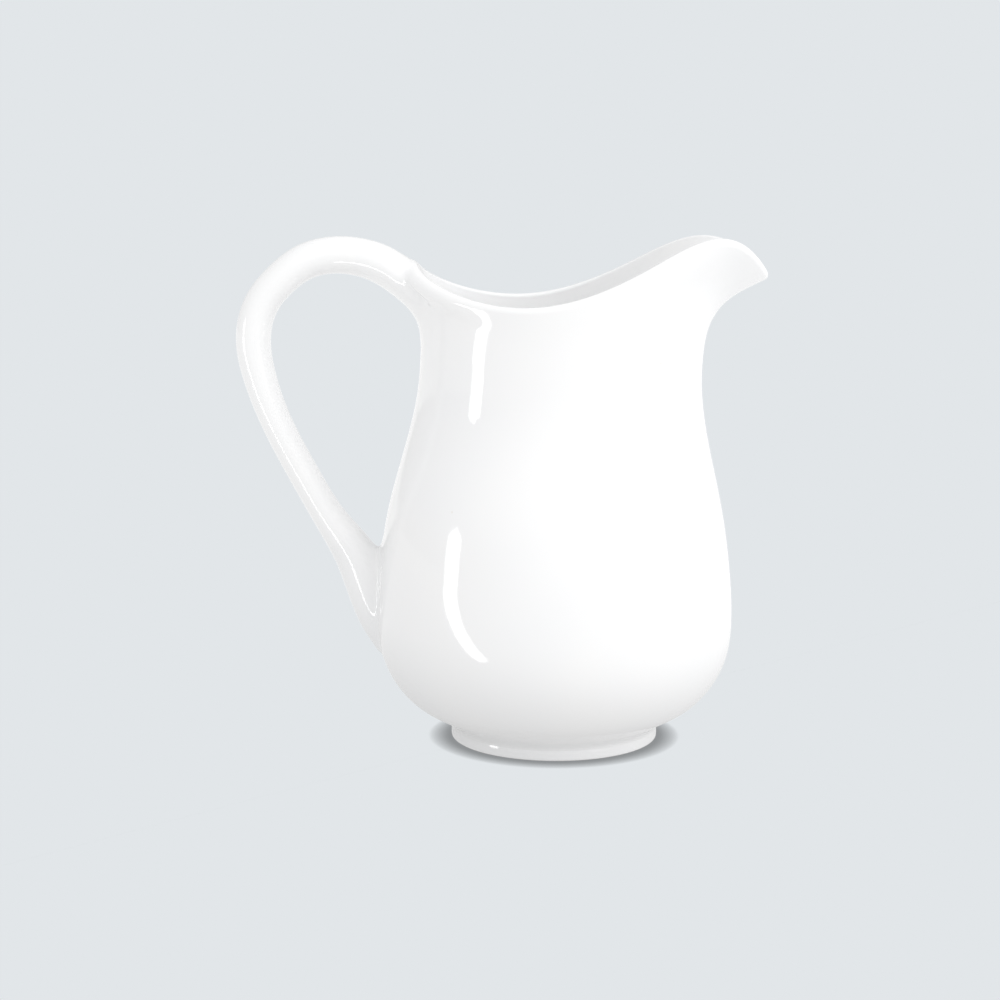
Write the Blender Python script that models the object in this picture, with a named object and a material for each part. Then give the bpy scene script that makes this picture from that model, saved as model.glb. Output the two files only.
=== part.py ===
"""Porcelain cream jug: slip-cast body with a pulled spout, turned foot ring and luted loop handle.

Metres, +Z up.  The jug stands on z = 0 with its spout towards +X and its handle towards -X.  The
origin is the middle of the footprint of the whole jug, so the axis of the round body lies at
BODY_AXIS_X.  Outlines are given in millimetres from that axis and scaled by MM.
"""
import math

import bmesh
import bpy
import numpy as np

MM = 0.001

# Placing
BODY_AXIS_X = 10.6 * MM
GAP = 0.3 * MM

# Foot ring and the slip groove above it
FOOT_RADIUS = 20.6
FOOT_INNER_RADIUS = 17.4
FOOT_HEIGHT = 3.5
FOOT_EDGE = 0.5
SLIP_HEIGHT = 0.6
SLIP_RADIUS = 19.8
SLIP_INNER_RADIUS = 17.9

# Underside of the body inside the foot ring, domed by a hair so that the jug cannot rock
UNDERSIDE_DOME = 0.5

# Round lower body: (radius, height) from the groove to the shoulder of the neck
LOWER_OUTLINE = (
    (20.4, 4.7), (26.6, 6.6), (31.4, 11.0), (34.4, 17.0), (35.3, 25.0), (34.8, 34.0), (33.5, 44.0),
)

# Upper body: stations round the axis in degrees from the spout, the height of the rim at each
# station, and the radius at each share of the way from the shoulder to the rim
STATIONS = (0, 14, 30, 55, 95, 140, 165, 180)
RIM_HEIGHTS = (91.8, 96.4, 99.0, 94.3, 87.5, 89.9, 93.6, 95.1)
UPPER_RADII = (
    (0.25, (31.0, 30.9, 30.9, 30.8, 30.7, 30.5, 30.3, 30.2)),
    (0.50, (28.9, 28.9, 28.8, 28.5, 28.0, 27.5, 27.2, 27.1)),
    (0.70, (29.1, 29.0, 28.8, 28.2, 27.5, 26.8, 26.5, 26.4)),
    (0.85, (31.3, 31.1, 30.4, 28.9, 27.7, 27.0, 26.8, 26.8)),
    (0.93, (35.2, 34.4, 32.9, 30.0, 28.1, 27.5, 27.8, 27.9)),
    (1.00, (41.8, 38.9, 35.1, 30.8, 28.5, 28.3, 29.0, 29.2)),
)
SHOULDER_SHARE = 0.47

# Wall of the body, from the floor of the jug to the lip
WALL_SHARES = (0.0, 0.15, 0.5, 0.85, 1.0)
WALL_THICKNESS = (3.6, 3.0, 2.7, 2.4, 2.0)

BODY_SEGMENTS = 56
BODY_ROWS = 21
LIP_STEPS = 4

# Handle: (x, z) of the centre line, half thickness in its plane, half width across it
HANDLE_LINE = (
    (-26.2, 88.5, 3.8, 8.4),
    (-29.6, 91.4, 3.8, 7.0),
    (-33.6, 94.1, 3.8, 5.4),
    (-38.3, 95.8, 3.7, 4.5),
    (-43.2, 96.2, 3.6, 4.1),
    (-48.7, 95.0, 3.5, 4.1),
    (-53.8, 91.4, 3.4, 4.1),
    (-57.8, 86.3, 3.4, 4.0),
    (-59.3, 79.5, 3.4, 4.0),
    (-58.1, 72.0, 3.2, 3.9),
    (-55.1, 63.6, 3.0, 3.8),
    (-49.3, 52.2, 3.0, 3.8),
    (-44.0, 43.2, 3.3, 3.9),
    (-39.6, 35.7, 3.9, 4.1),
    (-37.1, 28.1, 3.7, 4.2),
    (-35.5, 22.6, 3.0, 3.7),
    (-34.6, 19.6, 1.4, 2.0),
)
HANDLE_SIDES = 16
HANDLE_STEPS = 46

# Luting slip between the handle and the body
PAD_THICKNESS = 0.8
PAD_SPREAD = 0.5
UPPER_PAD_END = 0.16
LOWER_PAD_START = 0.70
CUTTER_EXTENSION = 12.0


def cubic_curve(knots, values, at, level_ends=False):
    """Cubic spline through the values at the knots; level_ends gives it zero slope at both ends."""
    knots = np.array(knots, float)
    values = np.array(values, float)
    table = values.reshape(len(knots), -1)
    span = np.diff(knots)[:, None]
    slope = np.diff(table, axis=0) / span
    count = len(knots)
    matrix = np.zeros((count, count))
    right = np.zeros(table.shape)
    for i in range(1, count - 1):
        before, after = span[i - 1, 0], span[i, 0]
        matrix[i, i - 1:i + 2] = after, 2 * (before + after), before
        right[i] = 3 * (after * slope[i - 1] + before * slope[i])
    if level_ends:
        matrix[0, 0] = matrix[-1, -1] = 1.0
    else:
        matrix[0, :2] = 2, 1
        matrix[-1, -2:] = 1, 2
        right[0] = 3 * slope[0]
        right[-1] = 3 * slope[-1]
    tangent = np.linalg.solve(matrix, right)
    at = np.asarray(at, float)
    i = np.clip(np.searchsorted(knots, at) - 1, 0, count - 2)
    width = span[i]
    u = (at - knots[i])[:, None] / width
    result = (1 + 2 * u) * (1 - u) ** 2 * table[i] + u * (1 - u) ** 2 * width * tangent[i]
    result += u * u * (3 - 2 * u) * table[i + 1] + u * u * (u - 1) * width * tangent[i + 1]
    return result.reshape((len(at),) + values.shape[1:])


def lower_shares():
    """Share of the body's outline at each point of the lower outline, by length along it."""
    points = np.array(LOWER_OUTLINE)
    lengths = np.concatenate([[0.0], np.cumsum(np.hypot(*np.diff(points, axis=0).T))])
    return SHOULDER_SHARE * lengths / lengths[-1]


def outer_surface(segments, rows):
    """Grid of points (row, segment, xyz) on the outside of the body, from the groove to the rim."""
    angles = np.linspace(0.0, 360.0, segments, endpoint=False)
    from_spout = np.abs((angles + 180.0) % 360.0 - 180.0)
    shares = np.array([share for share, _ in UPPER_RADII])
    upper = np.array([radii for _, radii in UPPER_RADII]).T
    upper_radius = cubic_curve(STATIONS, upper, from_spout, level_ends=True).T
    rim = cubic_curve(STATIONS, RIM_HEIGHTS, from_spout, level_ends=True)
    lower_radius, lower_height = np.array(LOWER_OUTLINE).T
    shoulder = lower_height[-1]
    upper_height = shoulder + shares[:, None] * (rim - shoulder)[None, :]
    flat = np.ones(segments)
    radius = np.concatenate([lower_radius[:, None] * flat, upper_radius])
    height = np.concatenate([lower_height[:, None] * flat, upper_height])
    knots = np.concatenate([lower_shares(), SHOULDER_SHARE + (1.0 - SHOULDER_SHARE) * shares])
    at = np.linspace(0.0, 1.0, rows)
    radius = cubic_curve(knots, radius, at)
    height = cubic_curve(knots, height, at)
    turn = np.radians(angles)
    return np.stack([radius * np.cos(turn), radius * np.sin(turn), height], axis=-1)


def surface_frame(grid):
    """Outward normals of a body grid and its upward tangents, both of unit length."""
    upward = np.gradient(grid, axis=0)
    around = np.roll(grid, -1, axis=1) - np.roll(grid, 1, axis=1)
    normal = np.cross(around, upward)
    upward /= np.linalg.norm(upward, axis=-1, keepdims=True)
    normal /= np.linalg.norm(normal, axis=-1, keepdims=True)
    return normal, upward


def add_rings(mesh, rings):
    """Add rings of points (in millimetres) joined by quads; return the rings of vertices."""
    built = [[mesh.verts.new(point * MM) for point in ring] for ring in rings]
    for lower, upper in zip(built, built[1:]):
        for i in range(len(lower)):
            j = (i + 1) % len(lower)
            mesh.faces.new((lower[i], lower[j], upper[j], upper[i]))
    return built


def fan(mesh, ring, centre):
    """Close a ring of vertices with triangles to a centre point given in millimetres."""
    middle = mesh.verts.new(np.array(centre) * MM)
    for i in range(len(ring)):
        mesh.faces.new((ring[i], ring[(i + 1) % len(ring)], middle))


def finish_mesh(mesh, name, material, parent, sharp_degrees=40.0):
    """Turn a closed bmesh into a smooth-shaded object under the parent."""
    bmesh.ops.recalc_face_normals(mesh, faces=mesh.faces)
    data = bpy.data.meshes.new(name)
    mesh.to_mesh(data)
    mesh.free()
    data.shade_smooth()
    data.set_sharp_from_angle(angle=math.radians(sharp_degrees))
    if material is not None:
        data.materials.append(material)
    part = bpy.data.objects.new(name, data)
    bpy.context.scene.collection.objects.link(part)
    part.parent = parent
    return part


def porcelain(name, colour, roughness):
    """Material of a porcelain part."""
    material = bpy.data.materials.new(name)
    material.use_nodes = True
    shader = material.node_tree.nodes["Principled BSDF"]
    shader.inputs["Base Color"].default_value = (*colour, 1.0)
    shader.inputs["Roughness"].default_value = roughness
    shader.inputs["Metallic"].default_value = 0.0
    return material


def turned(name, profile, segments, material, parent):
    """Solid turned about the body's axis from a closed profile of (radius, height) points."""
    angles = np.linspace(0.0, 2 * math.pi, segments, endpoint=False)
    mesh = bmesh.new()
    rings = [
        np.stack([r * np.cos(angles), r * np.sin(angles), np.full(segments, z)], axis=-1)
        for r, z in profile
    ]
    built = add_rings(mesh, rings)
    first, last = built[0], built[-1]
    for i in range(segments):
        j = (i + 1) % segments
        mesh.faces.new((last[i], last[j], first[j], first[i]))
    return finish_mesh(mesh, name, material, parent)


def make_body(parent):
    """Shell with one wall: outside, rounded lip, inside and floor."""
    outside = outer_surface(BODY_SEGMENTS, BODY_ROWS)
    normal, upward = surface_frame(outside)
    at = np.linspace(0.0, 1.0, BODY_ROWS)
    wall = cubic_curve(WALL_SHARES, WALL_THICKNESS, at)[:, None, None]
    half_lip = WALL_THICKNESS[-1] / 2
    outside[-1] -= half_lip * upward[-1]
    inside = outside - wall * normal
    lip = []
    for step in range(1, LIP_STEPS):
        turn = math.pi * step / LIP_STEPS
        inward = (1 - math.cos(turn)) * normal[-1]
        lip.append(outside[-1] + half_lip * (math.sin(turn) * upward[-1] - inward))
    mesh = bmesh.new()
    built = add_rings(mesh, [*outside, *lip, *inside[::-1]])
    fan(mesh, built[0], (0.0, 0.0, LOWER_OUTLINE[0][1] + UNDERSIDE_DOME))
    fan(mesh, built[-1], (0.0, 0.0, inside[0, :, 2].mean() + UNDERSIDE_DOME))
    material = porcelain("body_glaze", (0.93, 0.93, 0.92), 0.08)
    return finish_mesh(mesh, "jug_body", material, parent)


def make_foot(parent):
    """Low ring, a little wider at the floor, with rounded edges."""
    edge = FOOT_EDGE
    profile = (
        (FOOT_INNER_RADIUS + edge, 0.0),
        (FOOT_RADIUS - edge, 0.0),
        (FOOT_RADIUS - 0.3 * edge, 0.3 * edge),
        (FOOT_RADIUS, edge),
        (FOOT_RADIUS - 0.1, FOOT_HEIGHT - 2 * edge),
        (FOOT_RADIUS - edge, FOOT_HEIGHT - 0.3 * edge),
        (FOOT_RADIUS - 2 * edge, FOOT_HEIGHT),
        (FOOT_INNER_RADIUS + 0.5 * edge, FOOT_HEIGHT),
        (FOOT_INNER_RADIUS, FOOT_HEIGHT - edge),
        (FOOT_INNER_RADIUS, edge),
        (FOOT_INNER_RADIUS + 0.3 * edge, 0.3 * edge),
    )
    material = porcelain("foot_glaze", (0.91, 0.91, 0.90), 0.12)
    return turned("foot_ring", profile, BODY_SEGMENTS, material, parent)


def make_foot_slip(parent):
    """Thin ring of slip in the groove, clear of the foot ring below and the body above."""
    low = FOOT_HEIGHT + GAP / MM
    high = low + SLIP_HEIGHT
    profile = (
        (SLIP_INNER_RADIUS, low),
        (SLIP_RADIUS, low),
        (SLIP_RADIUS, high),
        (SLIP_INNER_RADIUS, high),
    )
    material = porcelain("foot_slip_glaze", (0.90, 0.90, 0.89), 0.14)
    return turned("foot_luting_slip", profile, BODY_SEGMENTS, material, parent)


def handle_rings(steps, start=0.0, end=1.0, spread=0.0):
    """Oval sections along the handle between two shares of its length, each grown by spread."""
    line = np.array(HANDLE_LINE)
    lengths = np.concatenate([[0.0], np.cumsum(np.hypot(*np.diff(line[:, :2], axis=0).T))])
    shares = lengths / lengths[-1]
    at = np.linspace(start, end, steps)
    centre = cubic_curve(shares, line, at)
    ahead = cubic_curve(shares, line, at + 0.001)[:, :2] - centre[:, :2]
    along = ahead / np.linalg.norm(ahead, axis=1, keepdims=True)
    turns = np.linspace(0.0, 2 * math.pi, HANDLE_SIDES, endpoint=False)
    rings = []
    for (x, z, thick, wide), (run_x, run_z) in zip(centre, along):
        in_plane = (thick + spread) * np.cos(turns)
        across = (wide + spread) * np.sin(turns)
        rings.append(np.stack([x - run_z * in_plane, across, z + run_x * in_plane], axis=-1))
    return rings


def swept(name, rings, material, parent):
    """Closed solid through the rings, with a flat end at each side."""
    mesh = bmesh.new()
    built = add_rings(mesh, rings)
    fan(mesh, built[0], np.mean(rings[0], axis=0))
    fan(mesh, built[-1], np.mean(rings[-1], axis=0))
    return finish_mesh(mesh, name, material, parent)


def make_cutter(name, offset, parent):
    """Filled body grown by an offset and carried straight up past the rim, used only for cutting."""
    grid = outer_surface(BODY_SEGMENTS, BODY_ROWS)
    normal, _ = surface_frame(grid)
    grown = grid + offset * normal
    top = grown[-1] + np.array([0.0, 0.0, CUTTER_EXTENSION])
    mesh = bmesh.new()
    built = add_rings(mesh, [*grown, top])
    fan(mesh, built[0], (0.0, 0.0, LOWER_OUTLINE[0][1]))
    fan(mesh, built[-1], np.mean(top, axis=0))
    cutter = finish_mesh(mesh, name, None, parent)
    cutter.hide_render = True
    cutter.display_type = "WIRE"
    return cutter


def cut(part, operation, cutter):
    """Add a Boolean with the cutter to the part."""
    boolean = part.modifiers.new(operation.lower(), "BOOLEAN")
    boolean.operation = operation
    boolean.solver = "EXACT"
    boolean.object = cutter


def make_handle(parent, cutter):
    """Loop handle, trimmed just clear of the slip pads on the body."""
    material = porcelain("handle_glaze", (0.93, 0.93, 0.92), 0.08)
    handle = swept("handle", handle_rings(HANDLE_STEPS), material, parent)
    cut(handle, "DIFFERENCE", cutter)
    return handle


def make_pad(name, start, end, material, parent, outer_cutter, inner_cutter):
    """Pad of slip between the body and one end of the handle, a little wider than the handle."""
    rings = handle_rings(HANDLE_STEPS // 3, start, end, PAD_SPREAD)
    pad = swept(name, rings, material, parent)
    cut(pad, "INTERSECT", outer_cutter)
    cut(pad, "DIFFERENCE", inner_cutter)
    return pad


def clear_scene():
    """Remove whatever objects the scene opens with."""
    for existing in list(bpy.data.objects):
        bpy.data.objects.remove(existing, do_unlink=True)


def main():
    clear_scene()
    axis = bpy.data.objects.new("jug_axis", None)
    bpy.context.scene.collection.objects.link(axis)
    axis.location = (BODY_AXIS_X, 0.0, 0.0)

    make_body(axis)
    make_foot(axis)
    make_foot_slip(axis)

    gap = GAP / MM
    pad_inside = make_cutter("pad_inner_face", gap, axis)
    pad_outside = make_cutter("pad_outer_face", gap + PAD_THICKNESS, axis)
    handle_end = make_cutter("handle_end_face", 2 * gap + PAD_THICKNESS, axis)
    make_handle(axis, handle_end)
    upper = porcelain("upper_slip_glaze", (0.92, 0.92, 0.91), 0.1)
    lower = porcelain("lower_slip_glaze", (0.92, 0.92, 0.91), 0.1)
    make_pad("upper_luting_slip", 0.0, UPPER_PAD_END, upper, axis, pad_outside, pad_inside)
    make_pad("lower_luting_slip", LOWER_PAD_START, 1.0, lower, axis, pad_outside, pad_inside)


main()
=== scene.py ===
import math

import bpy
import numpy as np
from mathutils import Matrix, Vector


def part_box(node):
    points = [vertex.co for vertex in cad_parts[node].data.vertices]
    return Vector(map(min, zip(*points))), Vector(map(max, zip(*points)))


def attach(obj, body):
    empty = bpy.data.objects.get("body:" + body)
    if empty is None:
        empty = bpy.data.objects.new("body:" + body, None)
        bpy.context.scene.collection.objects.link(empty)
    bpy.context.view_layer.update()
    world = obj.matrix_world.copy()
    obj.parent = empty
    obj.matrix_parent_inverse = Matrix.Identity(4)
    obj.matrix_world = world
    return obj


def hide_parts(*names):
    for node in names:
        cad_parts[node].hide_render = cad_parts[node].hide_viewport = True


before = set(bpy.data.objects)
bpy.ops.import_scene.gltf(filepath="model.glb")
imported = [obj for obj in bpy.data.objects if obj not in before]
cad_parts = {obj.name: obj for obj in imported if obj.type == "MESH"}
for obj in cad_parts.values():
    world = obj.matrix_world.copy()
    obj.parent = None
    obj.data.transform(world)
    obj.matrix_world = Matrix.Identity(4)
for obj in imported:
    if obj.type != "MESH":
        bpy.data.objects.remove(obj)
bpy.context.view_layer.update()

# Places and scale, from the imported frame.  Outlines below are in nominal millimetres from the
# axis of the round body, at a foot ring of FOOT_RADIUS; UNIT turns them into metres.
FOOT_RADIUS = 20.6
foot_low, foot_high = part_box("foot_ring")
AXIS_X = (foot_low.x + foot_high.x) / 2
UNIT = (foot_high.x - foot_low.x) / 2 / FOOT_RADIUS

# Round lower body: (radius, height) from the groove to the shoulder of the neck
LOWER_OUTLINE = (
    (20.7, 3.1), (23.8, 4.95), (26.9, 6.7), (31.4, 11.0), (34.4, 17.0), (35.3, 25.0), (34.8, 34.0),
    (33.5, 44.0),
)

# Upper body: stations round the axis in degrees from the spout, the height of the rim at each
# station, and the radius at each share of the way from the shoulder to the rim
STATIONS = (0, 14, 30, 55, 95, 140, 165, 180)
RIM_HEIGHTS = (91.8, 96.4, 99.0, 94.3, 87.5, 89.9, 93.6, 95.1)
UPPER_RADII = (
    (0.25, (31.0, 30.9, 30.9, 30.8, 30.7, 30.5, 30.3, 30.2)),
    (0.50, (28.9, 28.9, 28.8, 28.5, 28.0, 27.5, 27.2, 27.1)),
    (0.70, (29.1, 29.0, 28.8, 28.2, 27.5, 26.8, 26.5, 26.4)),
    (0.85, (31.3, 31.1, 30.4, 28.9, 27.7, 27.0, 26.8, 26.8)),
    (0.93, (35.2, 34.4, 32.9, 30.0, 28.1, 27.5, 27.8, 27.9)),
    (1.00, (41.8, 38.9, 35.1, 30.8, 28.5, 28.3, 29.1, 29.4)),
)
SHOULDER_SHARE = 0.47

# Wall of the body, from the floor of the jug to the lip
WALL_SHARES = (0.0, 0.15, 0.5, 0.85, 1.0)
WALL_THICKNESS = (3.6, 3.0, 2.7, 2.4, 2.0)

# Handle: (x, z) of the centre line, half thickness in its plane, half width across it.  Both ends
# run on into the body, where the wall swallows them
HANDLE_LINE = (
    (-21.0, 83.5, 3.7, 6.5),
    (-25.4, 87.95, 3.75, 8.2),
    (-29.6, 91.45, 3.75, 8.0),
    (-33.6, 94.15, 3.8, 6.2),
    (-38.3, 95.8, 3.7, 4.8),
    (-43.2, 96.2, 3.6, 4.2),
    (-48.7, 95.0, 3.5, 4.1),
    (-53.8, 91.4, 3.4, 4.1),
    (-57.8, 86.3, 3.4, 4.0),
    (-59.3, 79.5, 3.4, 4.0),
    (-58.1, 72.0, 3.2, 3.9),
    (-55.1, 63.6, 3.0, 3.8),
    (-49.3, 52.2, 3.0, 3.8),
    (-44.0, 43.2, 3.3, 3.9),
    (-39.3, 35.9, 4.2, 4.1),
    (-36.9, 28.2, 3.9, 4.2),
    (-35.1, 22.4, 3.1, 3.8),
    (-33.4, 18.4, 2.2, 2.8),
)

# Reach of the slip fillets: under the handle's upper end, at the rim, under its tail, and in the
# notch above the tail.  Heights where one gives way to the next, and over what distance
UPPER_BLEND = 5.0
RIM_BLEND = 2.4
RIM_FADE = 6.0
CHIN_BLEND = 2.4
NOTCH_BLEND = 4.4
NOTCH_HEIGHT = 30.0
NOTCH_FADE = 8.0
SPLIT_HEIGHT = 57.0
SPLIT_FADE = 10.0

# Inside the wall the fillets fade out and the handle ends, in half thicknesses of the lip
FILLET_DEPTH = 1.6
HANDLE_DEPTH = 1.0

# Where the fillets' meshes start on the outline of the body, and end on the line of the handle
UPPER_START = 0.955
LOWER_START = 0.27
TUBE_FROM = 0.185
TUBE_TO = 0.80
FOOTPRINT_REACH = 34.0

# Rolled edge of the rim that carries the handle's root round the back of the jug: how far it
# stands proud of the wall at each angle from the spout, and between which depths it dies out
BAND_TURNS = (0.0, 105.0, 118.0, 127.0, 138.0, 149.0, 160.0, 180.0)
BAND_PROUD = (0.0, 0.0, 0.08, 0.35, 0.75, 1.1, 1.4, 1.6)
BAND_TOP = 1.6
BAND_BOTTOM = 4.6

# Mesh density
TURN_STEPS = 288
OUTSIDE_ROWS = 190
INSIDE_ROWS = 142
LIP_ROWS = 20
HANDLE_SIDES = 96
HANDLE_STEPS = 170
FILLET_STEPS = 56
FLOOR_ROWS = 24
FOOTING_ROWS = 7
SEARCH_STEPS = 300


def cubic_curve(knots, values, at, level_ends=False):
    """Cubic spline through the values at the knots; level_ends gives it zero slope at both ends."""
    knots = np.array(knots, float)
    values = np.array(values, float)
    table = values.reshape(len(knots), -1)
    span = np.diff(knots)[:, None]
    slope = np.diff(table, axis=0) / span
    count = len(knots)
    matrix = np.zeros((count, count))
    right = np.zeros(table.shape)
    for i in range(1, count - 1):
        before, after = span[i - 1, 0], span[i, 0]
        matrix[i, i - 1:i + 2] = after, 2 * (before + after), before
        right[i] = 3 * (after * slope[i - 1] + before * slope[i])
    if level_ends:
        matrix[0, 0] = matrix[-1, -1] = 1.0
    else:
        matrix[0, :2] = 2, 1
        matrix[-1, -2:] = 1, 2
        right[0] = 3 * slope[0]
        right[-1] = 3 * slope[-1]
    tangent = np.linalg.solve(matrix, right)
    at = np.asarray(at, float)
    i = np.clip(np.searchsorted(knots, at) - 1, 0, count - 2)
    width = span[i]
    u = (at - knots[i])[:, None] / width
    result = (1 + 2 * u) * (1 - u) ** 2 * table[i] + u * (1 - u) ** 2 * width * tangent[i]
    result += u * u * (3 - 2 * u) * table[i + 1] + u * u * (u - 1) * width * tangent[i + 1]
    return result.reshape((len(at),) + values.shape[1:])


def length_shares(points):
    """Share of a polyline's length at each of its points."""
    steps = np.linalg.norm(np.diff(points, axis=0), axis=1)
    lengths = np.concatenate([[0.0], np.cumsum(steps)])
    return lengths / lengths[-1]


LEVELS = np.concatenate([
    SHOULDER_SHARE * length_shares(np.array(LOWER_OUTLINE)),
    SHOULDER_SHARE + (1.0 - SHOULDER_SHARE) * np.array([share for share, _ in UPPER_RADII]),
])
LEVEL_BASIS = np.eye(len(LEVELS))


def outline_levels(turn):
    """Radius and height of the outside at every level, for each angle in radians."""
    from_spout = angle_from_spout(turn)
    shares = np.array([share for share, _ in UPPER_RADII])
    upper = np.array([radii for _, radii in UPPER_RADII]).T
    upper_radius = cubic_curve(STATIONS, upper, from_spout, level_ends=True)
    rim = rim_height(from_spout)
    lower_radius, lower_height = np.array(LOWER_OUTLINE).T
    shoulder = lower_height[-1]
    flat = np.ones((len(from_spout), 1))
    radius = np.hstack([flat * lower_radius, upper_radius])
    height = np.hstack([flat * lower_height, shoulder + (rim[:, None] - shoulder) * shares])
    return radius, height


def at_share(levels, share):
    """Value of each row of levels at its own share of the outline."""
    return np.sum(cubic_curve(LEVELS, LEVEL_BASIS, share) * levels, axis=1)


def outline_point(levels, share):
    """Point (radius, height), unit tangent and speed of the outline at each share."""
    small = 1e-4
    radius, height = levels
    here = np.stack([at_share(radius, share), at_share(height, share)], axis=1)
    ahead = np.stack([at_share(radius, share + small), at_share(height, share + small)], axis=1)
    slope = (ahead - here) / small
    speed = np.linalg.norm(slope, axis=1)
    return here, slope / speed[:, None], speed


def smooth_step(value):
    """Smooth ramp from 0 to 1 as the value goes from 0 to 1."""
    value = np.clip(value, 0.0, 1.0)
    return value * value * (3.0 - 2.0 * value)


def angle_from_spout(turn):
    """Degrees round from the spout, either way, for each angle in radians."""
    return np.abs((np.degrees(turn) + 180.0) % 360.0 - 180.0)


def rim_height(from_spout):
    """Height of the rim at each angle from the spout."""
    return cubic_curve(STATIONS, RIM_HEIGHTS, from_spout, level_ends=True)


def band(turn, height):
    """How far the rolled edge stands proud of the plain outline at each turn and height."""
    from_spout = angle_from_spout(turn)
    proud = np.maximum(cubic_curve(BAND_TURNS, BAND_PROUD, from_spout, level_ends=True), 0.0)
    proud = np.where(from_spout < BAND_TURNS[1], 0.0, proud)
    below = rim_height(from_spout) - height
    return proud * (1.0 - smooth_step((below - BAND_TOP) / (BAND_BOTTOM - BAND_TOP)))


def out_of(tangent):
    """Unit normal that points out of the jug, from the tangent that runs up its outline."""
    return np.stack([tangent[:, 1], -tangent[:, 0]], axis=1)


def round_axis(flat, turn):
    """Points in space from (radius, height) points and their angles."""
    return np.stack([flat[:, 0] * np.cos(turn), flat[:, 0] * np.sin(turn), flat[:, 1]], axis=1)


def share_span(levels, share):
    """Millimetres of outline per unit of share near a share."""
    _, _, speed = outline_point(levels, np.full(len(levels[0]), share))
    return speed


def lip_share(levels, turn):
    """Share of the outline where the rounded lip begins, half the lip's thickness below the rim."""
    half = (WALL_THICKNESS[-1] + band(turn, levels[1][:, -1])) / 2
    return 1.0 - half / share_span(levels, 1.0)


def wall_at(share):
    """Thickness of the wall at each share of the outline."""
    return cubic_curve(WALL_SHARES, WALL_THICKNESS, share)


# Coarse points of the outline, from which the nearest point of the body is refined
COARSE = np.linspace(0.0, 1.0, 150)
COARSE_BASIS = cubic_curve(LEVELS, LEVEL_BASIS, COARSE)


def nearest_share(flat, levels, end):
    """Share of the outline nearest to each (radius, height) point, no further up than the lip."""
    away = levels[0] @ COARSE_BASIS.T - flat[:, :1]
    rise = levels[1] @ COARSE_BASIS.T - flat[:, 1:]
    share = np.minimum(COARSE[np.argmin(away ** 2 + rise ** 2, axis=1)], end)
    for _ in range(3):
        here, tangent, speed = outline_point(levels, share)
        step = np.sum((flat - here) * tangent, axis=1) / speed
        share = np.clip(share + step, 0.0, end)
    return share


def body_distance(points):
    """Distance from the solid of the body, and height above its outer face (negative inside).

    The second is counted in half thicknesses of the lip, so that -1 is the middle of the lip.
    """
    turn = np.arctan2(points[:, 1], points[:, 0])
    flat = np.stack([np.hypot(points[:, 0], points[:, 1]), points[:, 2]], axis=1)
    levels = outline_levels(turn)
    end = lip_share(levels, turn)
    share = nearest_share(flat, levels, end)
    here, tangent, _ = outline_point(levels, share)
    normal = out_of(tangent)
    offset = flat - here
    outside = np.sum(offset * normal, axis=1)
    proud = band(turn, flat[:, 1])
    half = (wall_at(share) + proud) / 2
    middle = offset + (half - proud)[:, None] * normal
    past = np.maximum(np.sum(middle * tangent, axis=1), 0.0) * (share >= end)
    side = np.sum(middle * normal, axis=1)
    lip_half = (WALL_THICKNESS[-1] + proud) / 2
    outer = (outside - proud) / lip_half
    lip, lip_tangent, _ = outline_point(levels, end)
    lip_middle = lip[:, 0] - (lip_half - proud) * lip_tangent[:, 1]
    over_lip = (flat[:, 0] - lip_middle) / lip_half - 1.0
    outer = np.where(share >= end, np.maximum(outer, over_lip), outer)
    return np.hypot(side, past) - half, outer


# Coarse points of the handle's line, from which its nearest point is refined
HANDLE_TABLE = np.array(HANDLE_LINE)
HANDLE_SHARES = length_shares(HANDLE_TABLE[:, :2])
HANDLE_COARSE = np.linspace(0.0, 1.0, 260)
HANDLE_SAMPLES = cubic_curve(HANDLE_SHARES, HANDLE_TABLE, HANDLE_COARSE)


def handle_point(share):
    """Centre (x, z), unit tangent, speed, half thickness and half width along the handle."""
    small = 1e-4
    here = cubic_curve(HANDLE_SHARES, HANDLE_TABLE, share)
    ahead = cubic_curve(HANDLE_SHARES, HANDLE_TABLE, share + small)
    slope = (ahead - here)[:, :2] / small
    speed = np.linalg.norm(slope, axis=1)
    return here[:, :2], slope / speed[:, None], speed, here[:, 2], here[:, 3]


def handle_distance(points):
    """Distance from the handle as a swept oval (negative inside)."""
    flat = points[:, [0, 2]]
    gaps = (flat[:, :1] - HANDLE_SAMPLES[:, 0]) ** 2 + (flat[:, 1:] - HANDLE_SAMPLES[:, 1]) ** 2
    share = HANDLE_COARSE[np.argmin(gaps, axis=1)]
    for _ in range(4):
        centre, tangent, speed, _, _ = handle_point(share)
        share = np.clip(share + np.sum((flat - centre) * tangent, axis=1) / speed, 0.0, 1.0)
    centre, tangent, _, thick, wide = handle_point(share)
    offset = flat - centre
    across = points[:, 1]
    in_plane = offset[:, 1] * tangent[:, 0] - offset[:, 0] * tangent[:, 1]
    size = np.hypot(in_plane / thick, across / wide)
    slope = np.hypot(in_plane / thick ** 2, across / wide ** 2)
    distance = size * (size - 1.0) / np.maximum(slope, 1e-6)
    past = np.abs(np.sum(offset * tangent, axis=1)) * ((share <= 0.0) | (share >= 1.0))
    return np.where(past > 0.0, np.hypot(np.maximum(distance, 0.0), past), distance)


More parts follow.
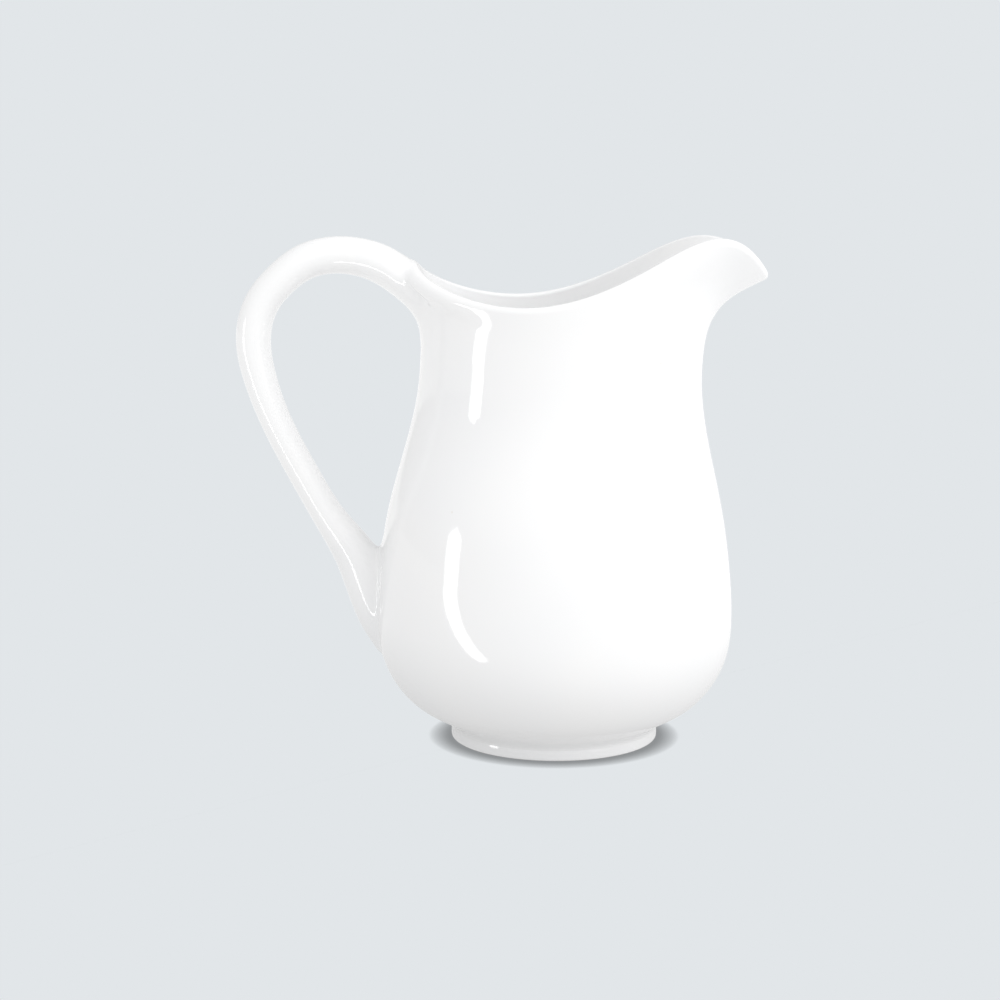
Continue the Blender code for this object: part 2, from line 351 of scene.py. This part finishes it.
def blend_reach(points, outer):
    """How far from the corner the slip fillet reaches at each point: nothing inside the jug."""
    height = points[:, 2]
    notch = smooth_step((height - NOTCH_HEIGHT) / NOTCH_FADE)
    upper = smooth_step((height - SPLIT_HEIGHT) / SPLIT_FADE)
    from_spout = angle_from_spout(np.arctan2(points[:, 1], points[:, 0]))
    under_rim = smooth_step((rim_height(from_spout) - height) / RIM_FADE)
    root = RIM_BLEND + (UPPER_BLEND - RIM_BLEND) * under_rim
    reach = CHIN_BLEND + (NOTCH_BLEND - CHIN_BLEND) * notch
    reach += (root - reach) * upper
    return reach * smooth_step(outer / FILLET_DEPTH + 1.0)


def joined_distance(points):
    """Distance from body and handle joined by a smooth fillet."""
    body, outer = body_distance(points)
    handle = np.maximum(handle_distance(points), -(outer + HANDLE_DEPTH))
    reach = np.maximum(blend_reach(points, outer), 1e-6)
    overlap = np.maximum(reach - np.abs(body - handle), 0.0) / reach
    return np.minimum(body, handle) - overlap ** 3 * reach / 6.0


def gradient(distance_from, points, distance):
    """Gradient of a distance function by small steps."""
    small = 5e-3
    moved = [points + small * axis for axis in np.eye(3)]
    return np.stack([(distance_from(place) - distance) / small for place in moved], axis=1)


def settle(points, rounds):
    """Move points onto the joined surface; return them with the surface's unit normals."""
    points = points.copy()
    for _ in range(rounds):
        distance = joined_distance(points)
        slope = gradient(joined_distance, points, distance)
        push = distance[:, None] * slope / np.maximum(np.sum(slope ** 2, axis=1), 0.05)[:, None]
        length = np.linalg.norm(push, axis=1, keepdims=True)
        points -= push * np.minimum(1.0, 2.0 / np.maximum(length, 1e-9))
    slope = gradient(joined_distance, points, joined_distance(points))
    return points, slope / np.linalg.norm(slope, axis=1, keepdims=True)


def body_surface_point(turn, climb, start_share):
    """Point on the outside or lip of the body, climb millimetres up the outline from a share."""
    levels = outline_levels(turn)
    spans = share_span(levels, start_share)
    share = start_share + climb / spans
    end = lip_share(levels, turn)
    over = np.maximum(share - end, 0.0) * spans
    share = np.minimum(share, end)
    here, tangent, _ = outline_point(levels, share)
    normal = out_of(tangent)
    proud = band(turn, here[:, 1])[:, None]
    half = (wall_at(share)[:, None] + proud) / 2
    bend = np.minimum(over[:, None] / half, math.pi)
    flat = here - (half - proud) * normal
    flat = flat + half * (np.cos(bend) * normal + np.sin(bend) * tangent)
    return round_axis(flat, turn)


def footprint(start_share, up_sign):
    """Loop on the body where the fillet round one end of the handle dies out."""
    turns = np.linspace(0.0, 2 * math.pi, HANDLE_SIDES, endpoint=False)
    radii = np.linspace(0.05, FOOTPRINT_REACH, SEARCH_STEPS)
    loop = []
    levels = outline_levels(np.array([math.pi]))
    radius = at_share(levels[0], np.array([start_share]))[0]
    for turn in turns:
        climb = up_sign * math.cos(turn) * radii
        around = -math.sin(turn) * radii
        points = body_surface_point(math.pi + around / radius, climb, start_share)
        _, outer = body_distance(points)
        free = handle_distance(points) - blend_reach(points, outer)
        first = np.argmax((free > 0) & (np.arange(len(radii)) > 2))
        share = free[first - 1] / (free[first - 1] - free[first])
        reach = radii[first - 1] + share * (radii[first] - radii[first - 1])
        loop.append(body_surface_point(
            np.array([math.pi - math.sin(turn) * reach / radius]),
            np.array([up_sign * math.cos(turn) * reach]), start_share)[0])
    return settle(np.array(loop), 4)[0]


def tube_ring(share):
    """Points round the handle at one share of its length, from the outer edge over the +Y side."""
    centre, tangent, _, thick, wide = handle_point(np.array([share]))
    turns = np.linspace(0.0, 2 * math.pi, HANDLE_SIDES, endpoint=False)
    outward = np.array([tangent[0, 1], -tangent[0, 0]])
    plane = centre[0] + thick[0] * np.cos(turns)[:, None] * outward
    return np.stack([plane[:, 0], wide[0] * np.sin(turns), plane[:, 1]], axis=1)


def bridge(start, start_way, end, end_way, steps):
    """Curved rows of points from one ring to another, leaving along the two directions."""
    reach = np.linalg.norm(end - start, axis=1, keepdims=True)
    rows = []
    for u in np.linspace(0.0, 1.0, steps + 1):
        row = (1 + 2 * u) * (1 - u) ** 2 * start + u * (1 - u) ** 2 * reach * start_way
        row = row + u * u * (3 - 2 * u) * end + u * u * (u - 1) * reach * end_way
        rows.append(row)
    return np.array(rows)


def relax(rows, rounds):
    """Even out a grid of points over the joined surface, holding its first and last rows."""
    inner = rows[1:-1]
    for _ in range(rounds):
        for _ in range(8):
            around = (np.roll(inner, 1, axis=1) + np.roll(inner, -1, axis=1)) / 2
            along = (rows[:-2] + rows[2:]) / 2
            inner[:] = 0.2 * inner + 0.4 * along + 0.4 * around
        inner[:] = settle(inner.reshape(-1, 3), 2)[0].reshape(inner.shape)
    inner[:] = settle(inner.reshape(-1, 3), 4)[0].reshape(inner.shape)
    return rows


def fillet_rows(loop, ring, ring_way, steps):
    """Rows of the fillet from its footprint on the body up to a ring of the handle."""
    _, normals = settle(loop, 1)
    inward = -gradient(handle_distance, loop, handle_distance(loop))
    inward -= np.sum(inward * normals, axis=1)[:, None] * normals
    inward /= np.linalg.norm(inward, axis=1, keepdims=True)
    rows = bridge(loop, inward, ring, ring_way, steps)
    rows[1:-1] = settle(rows[1:-1].reshape(-1, 3), 8)[0].reshape(rows[1:-1].shape)
    return relax(rows, 6)


upper_loop = footprint(UPPER_START, 1.0)
lower_loop = footprint(LOWER_START, -1.0)
tube_shares = np.linspace(TUBE_FROM, TUBE_TO, HANDLE_STEPS)
tube = np.array([tube_ring(share) for share in tube_shares])
first_way = (tube[1] - tube[0]) / np.linalg.norm(tube[1] - tube[0], axis=1, keepdims=True)
last_way = (tube[-2] - tube[-1]) / np.linalg.norm(tube[-2] - tube[-1], axis=1, keepdims=True)
upper_rows = fillet_rows(upper_loop, tube[0], first_way, FILLET_STEPS)
lower_rows = fillet_rows(lower_loop, tube[-1], last_way, FILLET_STEPS)


# Meshes -------------------------------------------------------------------------------------------


def to_world(points):
    """Nominal millimetres from the body axis, as metres in the frame."""
    return np.asarray(points) * UNIT + np.array([AXIS_X, 0.0, 0.0])


def ring_faces(rows, sides, wrap=False):
    """Quads between successive rings of a grid of rows x sides vertices."""
    faces = []
    last = rows if wrap else rows - 1
    for row in range(last):
        a, b = row * sides, (row + 1) % rows * sides
        for side in range(sides):
            right = (side + 1) % sides
            faces.append((a + side, a + right, b + right, b + side))
    return faces


def make_piece(name, points, faces, normals=None):
    """Mesh object from points in nominal millimetres, with its faces turned outward."""
    mesh = bpy.data.meshes.new(name)
    mesh.from_pydata([tuple(p) for p in to_world(points)], [], faces)
    mesh.update()
    if signed_volume(mesh) < 0:
        mesh.flip_normals()
    mesh.polygons.foreach_set("use_smooth", [True] * len(mesh.polygons))
    if normals is not None:
        mesh.normals_split_custom_set_from_vertices([tuple(n) for n in normals])
    piece = bpy.data.objects.new(name, mesh)
    bpy.context.scene.collection.objects.link(piece)
    return piece


def signed_volume(mesh):
    """Volume of a closed mesh, negative if its faces point inward."""
    mesh.calc_loop_triangles()
    points = np.zeros(len(mesh.vertices) * 3)
    mesh.vertices.foreach_get("co", points)
    points = points.reshape(-1, 3)
    corners = np.zeros(len(mesh.loop_triangles) * 3, int)
    mesh.loop_triangles.foreach_get("vertices", corners)
    a, b, c = points[corners.reshape(-1, 3)].transpose(1, 0, 2)
    return float(np.sum(a * np.cross(b, c)) / 6.0)


def grid_normals(grid):
    """Unit normals of a closed-round grid of points, from its neighbours."""
    around = np.roll(grid, -1, axis=1) - np.roll(grid, 1, axis=1)
    along = np.gradient(grid, axis=0)
    normals = np.cross(around, along)
    return normals / np.maximum(np.linalg.norm(normals, axis=2, keepdims=True), 1e-12)


TURNS = np.linspace(0.0, 2 * math.pi, TURN_STEPS, endpoint=False)

# Underside within the foot ring as (radius, height), and its height in the middle.  The inner wall
# turns into the floor at FLOOR_SHARE of the outline, and the floor dips to its middle
UNDERSIDE = ((19.9, 4.72), (19.2, 4.62), (17.0, 4.8), (13.0, 5.05), (8.0, 5.25), (3.0, 5.38))
CENTRE_UNDER = 5.4
FLOOR_SHARE = 0.035
FLOOR_DIP = 0.5
SINK_UNDER_HANDLE = 0.35
FOOTING_DEPTH = 0.8


def round_row(radius, height):
    """Ring of points at each turn; radius and height are numbers or one per turn."""
    flat = np.stack([radius * np.ones(TURN_STEPS), height * np.ones(TURN_STEPS)], axis=1)
    return round_axis(flat, TURNS)


def body_row(share, inner):
    """Ring of the body's outer or inner face at a share of the way to the lip."""
    levels = outline_levels(TURNS)
    here, tangent, _ = outline_point(levels, share * lip_share(levels, TURNS))
    depth = wall_at(np.array([share])) if inner else -band(TURNS, here[:, 1])[:, None]
    return round_axis(here - depth * out_of(tangent), TURNS)


def lip_row(bend):
    """Ring round the lip: bend runs from 0 on the outside to pi on the inside."""
    levels = outline_levels(TURNS)
    end = lip_share(levels, TURNS)
    here, tangent, _ = outline_point(levels, end)
    normal = out_of(tangent)
    proud = band(TURNS, here[:, 1])[:, None]
    half = (wall_at(end)[:, None] + proud) / 2
    flat = here - (half - proud) * normal
    flat = flat + half * (math.cos(bend) * normal + math.sin(bend) * tangent)
    return round_axis(flat, TURNS)


def body_rows():
    """All rings of the shell from the underside to the floor, and the floor's middle height."""
    rows = [round_row(radius, height) for radius, height in reversed(UNDERSIDE)]
    rows += [body_row(share, False) for share in np.linspace(0.0, 1.0, OUTSIDE_ROWS)]
    rows += [lip_row(math.pi * step / LIP_ROWS) for step in range(1, LIP_ROWS)]
    rows += [body_row(share, True) for share in np.linspace(1.0, FLOOR_SHARE, INSIDE_ROWS)]
    corner = rows[-1][0]
    for step in range(1, FLOOR_ROWS):
        inward = step / FLOOR_ROWS
        dip = FLOOR_DIP * math.sin(inward * math.pi / 2)
        rows.append(round_row(corner[0] * (1 - inward), corner[2] - dip))
    return np.array(rows), corner[2] - FLOOR_DIP


def sink_under_handle(points, normals):
    """Push points of the outer face a little into the wall where the slip fillets cover them."""
    _, outer = body_distance(points)
    covered = blend_reach(points, outer) - handle_distance(points)
    sink = SINK_UNDER_HANDLE * smooth_step((covered - 0.5) / 1.5)
    return points - sink[:, None] * normals


def make_body():
    rows, inner_centre = body_rows()
    normals = grid_normals(rows)
    face = slice(len(UNDERSIDE), len(UNDERSIDE) + OUTSIDE_ROWS)
    sunk = sink_under_handle(rows[face].reshape(-1, 3), normals[face].reshape(-1, 3))
    rows[face] = sunk.reshape(rows[face].shape)
    count = len(rows)
    points = np.vstack([rows.reshape(-1, 3), [[0, 0, CENTRE_UNDER], [0, 0, inner_centre]]])
    faces = ring_faces(count, TURN_STEPS)
    under, floor = count * TURN_STEPS, count * TURN_STEPS + 1
    top = (count - 1) * TURN_STEPS
    for side in range(TURN_STEPS):
        right = (side + 1) % TURN_STEPS
        faces.append((under, right, side))
        faces.append((floor, top + side, top + right))
    normals = np.vstack([normals.reshape(-1, 3), [[0, 0, -1], [0, 0, 1]]])
    return make_piece("jug_body", points, faces, normals)


def spun(name, profile):
    """Ring turned from a closed profile of (radius, height) points in order."""
    rows = np.array([round_row(radius, height) for radius, height in profile])
    faces = ring_faces(len(rows), TURN_STEPS, wrap=True)
    return make_piece(name, rows.reshape(-1, 3), faces)


def curve_through(points, count):
    """Even smooth curve through (radius, height) points."""
    points = np.array(points, float)
    return cubic_curve(length_shares(points), points, np.linspace(0.0, 1.0, count))


# Foot ring and slip as closed profiles of (radius, height): the face that shows, then the back
# that lies in the body
FOOT_PROFILE = (
    (19.9, 3.75), (20.1, 3.2), (20.4, 2.4), (20.6, 1.6), (20.64, 0.8), (20.5, 0.2), (20.0, 0.02),
    (19.0, 0.0), (18.3, 0.1), (17.8, 0.5), (17.5, 1.3), (17.4, 2.4), (17.3, 3.6),
)
GROOVE_PROFILE = (
    (22.2, 4.06), (21.5, 3.58), (21.0, 3.18), (20.65, 2.8), (20.5, 2.45), (20.5, 2.1), (20.52, 1.8),
)


FOOT_BACK = ((17.6, 4.9), (18.6, 5.1), (19.4, 4.9), (19.7, 4.3))
GROOVE_BACK = ((19.6, 1.8), (18.9, 2.8), (18.6, 4.0), (19.2, 4.6), (20.4, 4.6), (21.6, 4.4))


def make_foot():
    return spun("foot_ring", [*curve_through(FOOT_PROFILE, 64), *FOOT_BACK])


def make_foot_slip():
    return spun("foot_luting_slip", [*curve_through(GROOVE_PROFILE, 24), *GROOVE_BACK])


def cap_ring(points, faces, base, outward):
    """Close a ring of vertices with a fan to its middle."""
    sides = HANDLE_SIDES
    middle = len(points)
    points.append(np.mean(points[base:base + sides], axis=0))
    for side in range(sides):
        right = (side + 1) % sides
        faces.append((middle, base + side, base + right) if outward
                     else (middle, base + right, base + side))


def footing_rows(loop):
    """Rows that close a fillet inside the wall, below its footprint on the body."""
    angle = np.unwrap(np.arctan2(loop[:, 1], loop[:, 0]) % (2 * math.pi))
    rows = []
    for step in range(1, FOOTING_ROWS + 1):
        part = step / FOOTING_ROWS
        turn = angle + (math.pi - angle) * part
        height = loop[:, 2] + (loop[:, 2].mean() - loop[:, 2]) * part
        rows.append(inside_wall(turn, height, FOOTING_DEPTH * min(1.0, part * 4)))
    return rows


def inside_wall(turn, height, depth):
    """Points in the wall at each turn and height, depth below the outer face."""
    levels = outline_levels(turn)
    end = lip_share(levels, turn)
    share = np.full(len(turn), 0.5)
    for _ in range(12):
        here, tangent, speed = outline_point(levels, share)
        climb = np.maximum(np.abs(tangent[:, 1]), 0.3) * speed
        share = np.clip(share + (height - here[:, 1]) / climb, 0.02, end)
    here, tangent, _ = outline_point(levels, share)
    return round_axis(here - depth * out_of(tangent), turn)


def make_ringed(name, rows, surface_normals, start_cap, end_cap):
    """Closed piece from rings; a cap is None for a flat fan or extra rows that end in one."""
    before = list(start_cap or [])[::-1]
    after = list(end_cap or [])
    grid = np.array(before + list(rows) + after)
    points = list(grid.reshape(-1, 3))
    faces = ring_faces(len(grid), HANDLE_SIDES)
    cap_ring(points, faces, 0, False)
    cap_ring(points, faces, (len(grid) - 1) * HANDLE_SIDES, True)
    normals = np.zeros((len(points), 3))
    shell = grid_normals(grid)
    first = len(before)
    if np.sum(shell[first:first + len(rows)] * surface_normals) < 0:
        shell = -shell
    shell[first:first + len(rows)] = surface_normals
    normals[:-2] = shell.reshape(-1, 3)
    normals[-2] = normals[:HANDLE_SIDES].mean(axis=0) + 1e-6
    normals[-1] = normals[-2 - HANDLE_SIDES:-2].mean(axis=0) + 1e-6
    return make_piece(name, np.array(points), faces, normals)


def make_handle_pieces():
    upper, lower = upper_rows, lower_rows[::-1]
    rows = np.concatenate([upper[:-1], tube, lower[1:]])
    _, normals = settle(rows.reshape(-1, 3), 0)
    normals = normals.reshape(rows.shape)
    first, last = len(upper) - 1, len(rows) - len(lower)
    top = make_ringed(
        "upper_luting_slip", rows[:first + 1], normals[:first + 1], footing_rows(rows[0]), None)
    grip = make_ringed("handle", rows[first:last + 1], normals[first:last + 1], None, None)
    tail = make_ringed(
        "lower_luting_slip", rows[last:], normals[last:], None, footing_rows(rows[-1]))
    return top, grip, tail


body = make_body()
foot = make_foot()
foot_slip = make_foot_slip()
upper_slip, handle, lower_slip = make_handle_pieces()

PIECES = {
    "jug_body": (body, "body_glaze"),
    "foot_ring": (foot, "foot_glaze"),
    "foot_luting_slip": (foot_slip, "foot_slip_glaze"),
    "handle": (handle, "handle_glaze"),
    "upper_luting_slip": (upper_slip, "upper_slip_glaze"),
    "lower_luting_slip": (lower_slip, "lower_slip_glaze"),
}
for node, (piece, slot) in PIECES.items():
    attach(piece, "root")
    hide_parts(node)


# Glazed porcelain ---------------------------------------------------------------------------------


class Shader:
    """Short way to lay out the nodes of a material or world."""

    def __init__(self, owner):
        owner.use_nodes = True
        self.tree = owner.node_tree
        self.tree.nodes.clear()

    def node(self, kind, **values):
        made = self.tree.nodes.new(kind)
        for key, value in values.items():
            setattr(made, key, value)
        return made

    def link(self, source, target):
        self.tree.links.new(source, target)

    def feed(self, socket, value):
        if isinstance(value, bpy.types.NodeSocket):
            self.link(value, socket)
        else:
            socket.default_value = value

    def noise(self, position, scale, detail):
        made = self.node("ShaderNodeTexNoise")
        made.inputs["Scale"].default_value = scale
        made.inputs["Detail"].default_value = detail
        self.link(position, made.inputs["Vector"])
        return made.outputs["Fac"]

    def ramp(self, value, low, high, start, end):
        made = self.node("ShaderNodeMapRange", clamp=True)
        for key, number in (("From Min", low), ("From Max", high), ("To Min", start), ("To Max", end)):
            made.inputs[key].default_value = number
        self.link(value, made.inputs["Value"])
        return made.outputs["Result"]

    def math(self, operation, a, b):
        made = self.node("ShaderNodeMath", operation=operation)
        self.feed(made.inputs[0], a)
        self.feed(made.inputs[1], b)
        return made.outputs["Value"]

    def mix(self, share, first, second):
        made = self.node("ShaderNodeMix", data_type="RGBA")
        self.feed(made.inputs[0], share)
        self.feed(made.inputs[6], first)
        self.feed(made.inputs[7], second)
        return made.outputs[2]


PORCELAIN = (0.872, 0.872, 0.872, 1.0)
PORCELAIN_COOL = (0.858, 0.862, 0.868, 1.0)
# Painted shade for the slips that sit in creases: the groove above the foot and the fillet round the
# handle's tail
CREASE_SHADE = (0.80, 0.805, 0.81, 1.0)
BARE = (0.80, 0.77, 0.72, 1.0)
SPECK = (0.72, 0.68, 0.62, 1.0)
GLAZE_RIPPLE = 0.00006
GLAZE_EDGE = 0.00012


def porcelain(name, seed, crease_shade=0.0, bare_below=None):
    """Clear-glazed white porcelain: faint cloudiness, small specks and a slow glaze ripple, with an even
    painted shade mixed in for pieces that sit in creases.
    """
    material = bpy.data.materials.new(name)
    s = Shader(material)
    place = s.node("ShaderNodeTexCoord")
    shift = s.node("ShaderNodeMapping")
    shift.inputs["Location"].default_value = (seed * 0.37, seed * 0.11, seed * 0.23)
    s.link(place.outputs["Object"], shift.inputs["Vector"])
    at = shift.outputs["Vector"]
    cloud = s.ramp(s.noise(at, 38.0, 3.0), 0.35, 0.68, 0.0, 1.0)
    colour = s.mix(cloud, PORCELAIN, PORCELAIN_COOL)
    # Painted shade: the whole piece is greyed evenly, as if in the shade of its crease
    if crease_shade:
        colour = s.mix(crease_shade, colour, CREASE_SHADE)
    speck = s.node("ShaderNodeTexVoronoi")
    speck.inputs["Scale"].default_value = 210.0
    s.link(at, speck.inputs["Vector"])
    sparse = s.ramp(s.noise(at, 95.0, 1.0), 0.66, 0.72, 0.0, 0.5)
    dot = s.math("MULTIPLY", s.ramp(speck.outputs["Distance"], 0.03, 0.06, 1.0, 0.0), sparse)
    colour = s.mix(dot, colour, SPECK)
    ripple = s.noise(at, 62.0, 2.0)
    orange_peel = s.noise(at, 520.0, 2.0)
    height = s.math("ADD", ripple, s.math("MULTIPLY", orange_peel, 0.03))
    bump = s.node("ShaderNodeBump")
    bump.inputs["Strength"].default_value = 1.0
    bump.inputs["Distance"].default_value = GLAZE_RIPPLE
    s.link(height, bump.inputs["Height"])
    rough = s.ramp(s.noise(at, 150.0, 3.0), 0.3, 0.7, 0.05, 0.085)
    if bare_below is not None:
        split = s.node("ShaderNodeSeparateXYZ")
        s.link(place.outputs["Object"], split.inputs["Vector"])
        edge = s.math("ADD", split.outputs["Z"], s.math("MULTIPLY", s.noise(at, 300.0, 2.0), 0.0003))
        bare = s.ramp(edge, bare_below, bare_below + GLAZE_EDGE, 1.0, 0.0)
        colour = s.mix(bare, colour, BARE)
        rough = s.math("MAXIMUM", rough, s.math("MULTIPLY", bare, 0.6))
    shade = s.node("ShaderNodeBsdfPrincipled")
    s.link(colour, shade.inputs["Base Color"])
    s.link(rough, shade.inputs["Roughness"])
    shade.inputs["IOR"].default_value = 1.5
    s.link(bump.outputs["Normal"], shade.inputs["Normal"])
    out = s.node("ShaderNodeOutputMaterial")
    s.link(shade.outputs[0], out.inputs["Surface"])
    return material


LOOKS = {
    "jug_body": porcelain("porcelain_body", 1.0),
    "foot_ring": porcelain("porcelain_foot", 2.0, bare_below=0.00025),
    # The foot slip and the tail slip carry painted shade for the groove and the crease they sit in
    "foot_luting_slip": porcelain("porcelain_foot_slip", 3.0, crease_shade=0.35),
    "handle": porcelain("porcelain_handle", 4.0),
    "upper_luting_slip": porcelain("porcelain_upper_slip", 5.0),
    "lower_luting_slip": porcelain("porcelain_lower_slip", 6.0, crease_shade=0.15),
}
for node, look in LOOKS.items():
    PIECES[node][0].data.materials.append(look)

# Stage --------------------------------------------------------------------------------------------

BACKDROP = (0.7605, 0.7913, 0.8148, 1.0)
# Floor glow that reflections and bounce light see: painted shade near the jug, brighter further out
FLOOR_NEAR_PAINTED_SHADE = (0.70, 0.70, 0.70, 1.0)
FLOOR_FAR = (1.05, 1.05, 1.05, 1.0)
DARK_SIDE = (0.76, 0.76, 0.762, 1.0)
BRIGHT_SIDE = (1.18, 1.18, 1.182, 1.0)
# Reach of the painted contact shadow on the glowing floor
CONTACT_SHADOW = 0.0052


def flat_sheet(name, corners):
    mesh = bpy.data.meshes.new(name)
    mesh.from_pydata(corners, [], [tuple(range(len(corners)))])
    mesh.update()
    sheet = bpy.data.objects.new(name, mesh)
    bpy.context.scene.collection.objects.link(sheet)
    return sheet


def floor_look():
    """Evenly glowing pale floor that no lamp lights: a painted contact shadow where the foot shuts out
    the light, and painted shade near the jug in what the glaze and bounce light see.
    """
    material = bpy.data.materials.new("pale_floor")
    s = Shader(material)
    shut = s.node("ShaderNodeAmbientOcclusion", samples=24)
    shut.inputs["Distance"].default_value = CONTACT_SHADOW
    # Painted contact shadow: occlusion darkens the floor's glow where the camera sees it
    open_share = s.ramp(shut.outputs["AO"], 0.40, 0.93, 0.36, 1.0)
    seen = s.node("ShaderNodeLightPath")
    place = s.node("ShaderNodeTexCoord")
    away = s.node("ShaderNodeVectorMath", operation="LENGTH")
    s.link(place.outputs["Object"], away.inputs[0])
    # Painted shade: for reflections and bounce light the floor glows darker near the jug
    shaded = s.ramp(away.outputs["Value"], 0.02, 0.13, 0.0, 1.0)
    thrown = s.mix(shaded, FLOOR_NEAR_PAINTED_SHADE, FLOOR_FAR)
    glow = s.node("ShaderNodeEmission")
    s.link(s.mix(seen.outputs["Is Camera Ray"], thrown, BACKDROP), glow.inputs["Color"])
    unseen = s.ramp(seen.outputs["Is Camera Ray"], 0.0, 1.0, 0.95, 0.0)
    s.link(s.math("MAXIMUM", open_share, unseen), glow.inputs["Strength"])
    out = s.node("ShaderNodeOutputMaterial")
    s.link(glow.outputs[0], out.inputs["Surface"])
    return material


floor = flat_sheet("floor", [(-30, -30, 0), (30, -30, 0), (30, 30, 0), (-30, 30, 0)])
floor.data.materials.append(floor_look())


def studio_world():
    """Room light: dim on the handle's side and bright on the spout's, with the plain backdrop."""
    world = bpy.data.worlds.new("studio")
    bpy.context.scene.world = world
    s = Shader(world)
    place = s.node("ShaderNodeTexCoord")
    split = s.node("ShaderNodeSeparateXYZ")
    s.link(place.outputs["Generated"], split.inputs["Vector"])
    side = s.ramp(s.math("SUBTRACT", split.outputs["X"], split.outputs["Y"]), -1.0, 1.0, 0.0, 1.0)
    room = s.mix(side, DARK_SIDE, BRIGHT_SIDE)
    seen = s.node("ShaderNodeLightPath")
    sky = s.node("ShaderNodeBackground")
    s.link(s.mix(seen.outputs["Is Camera Ray"], room, BACKDROP), sky.inputs["Color"])
    out = s.node("ShaderNodeOutputWorld")
    s.link(sky.outputs[0], out.inputs["Surface"])


def strip_look(strength):
    """Plain white glow of a light card."""
    material = bpy.data.materials.new("strip_light")
    s = Shader(material)
    glow = s.node("ShaderNodeEmission")
    glow.inputs["Strength"].default_value = strength
    out = s.node("ShaderNodeOutputMaterial")
    s.link(glow.outputs[0], out.inputs["Surface"])
    return material


def reflected_only(sheet, strength):
    """Light card that the glaze mirrors but that lights and shades nothing else."""
    sheet.data.materials.append(strip_look(strength))
    sheet.visible_camera = False
    sheet.visible_diffuse = False
    sheet.visible_shadow = False


def lying_strip(name, middles, low, strength):
    """Strip light lying along the table: (x, y, width) of its middle line, in nominal millimetres."""
    middles = np.array(middles)
    along = np.gradient(middles[:, :2], axis=0)
    along /= np.linalg.norm(along, axis=1, keepdims=True)
    across = np.stack([-along[:, 1], along[:, 0]], axis=1) * middles[:, 2:] / 2
    sides = [middles[:, :2] + across, (middles[:, :2] - across)[::-1]]
    corners = [tuple(to_world((x, y, low))) for x, y in np.vstack(sides)]
    reflected_only(flat_sheet(name, corners), strength)


def upright_strip(name, foot, width, top, strength):
    """Upright end of a strip light facing the jug; its top edge slopes up to a point."""
    way = np.array([-foot[1], foot[0]]) / math.hypot(*foot) * width / 2
    left, right = np.array(foot) - way, np.array(foot) + way
    shoulder = top * 0.8
    outline = [(*left, STRIP_LOW), (*right, STRIP_LOW), (*right, shoulder), (*foot, top)]
    outline.append((*left, shoulder))
    reflected_only(flat_sheet(name, [tuple(to_world(corner)) for corner in outline]), strength)


# Strip light on the handle's side: (x, y, width) along the table to its upright end
STRIP_LINE = (
    (-63, -78, 9), (-85, -84, 16), (-134, -98, 25), (-202, -116, 37), (-403, -171, 78), (-700, -253, 135),
)
STRIP_LOW = 0.3
STRIP_END = (-700.0, -253.0)
STRIP_STRENGTH = 9.0

studio_world()
lying_strip("left_strip_lying", STRIP_LINE, STRIP_LOW, STRIP_STRENGTH)
upright_strip("left_strip_upright", STRIP_END, 135.0, 190.0, STRIP_STRENGTH)
upright_strip("right_window", (530.0, -530.0), 170.0, 240.0, 1.8)


def panel(name, azimuth, elevation, distance, size, power):
    """Soft square light looking at the jug, unseen in its glaze.

    Azimuth 0 is the camera's side and +90 the spout's.
    """
    turn, lift = math.radians(azimuth), math.radians(elevation)
    away = np.array([math.sin(turn) * math.cos(lift), -math.cos(turn) * math.cos(lift), math.sin(lift)])
    light = bpy.data.lights.new(name, "AREA")
    light.shape = "RECTANGLE"
    light.size, light.size_y = size, size
    light.energy = power
    lamp = bpy.data.objects.new(name, light)
    bpy.context.scene.collection.objects.link(lamp)
    lamp.location = away * distance + np.array(LIGHT_TARGET)
    aim(lamp, LIGHT_TARGET)
    lamp.visible_camera = False
    lamp.visible_glossy = False


def aim(thing, target):
    """Turn a light or camera to look at a point."""
    way = Vector(target) - thing.location
    thing.rotation_euler = way.to_track_quat("-Z", "Y").to_euler()


LIGHT_TARGET = (0.0, 0.0, 0.05)
panel("key_right", 62.0, 28.0, distance=0.75, size=0.55, power=1.0)
panel("top_soft", 20.0, 75.0, distance=0.8, size=0.7, power=0.8)

# Camera -------------------------------------------------------------------------------------------

CAMERA_PLACE = (-10.87, -400.0, 108.9)
CAMERA_TARGET = (-10.87, 0.0, 47.8)
camera_data = bpy.data.cameras.new("camera")
camera_data.sensor_width = 36.0
camera_data.lens = 73.26
camera = bpy.data.objects.new("camera", camera_data)
bpy.context.scene.collection.objects.link(camera)
camera.location = to_world(CAMERA_PLACE)
aim(camera, to_world(CAMERA_TARGET))
bpy.context.scene.camera = camera
bpy.context.scene.view_settings.view_transform = "Standard"
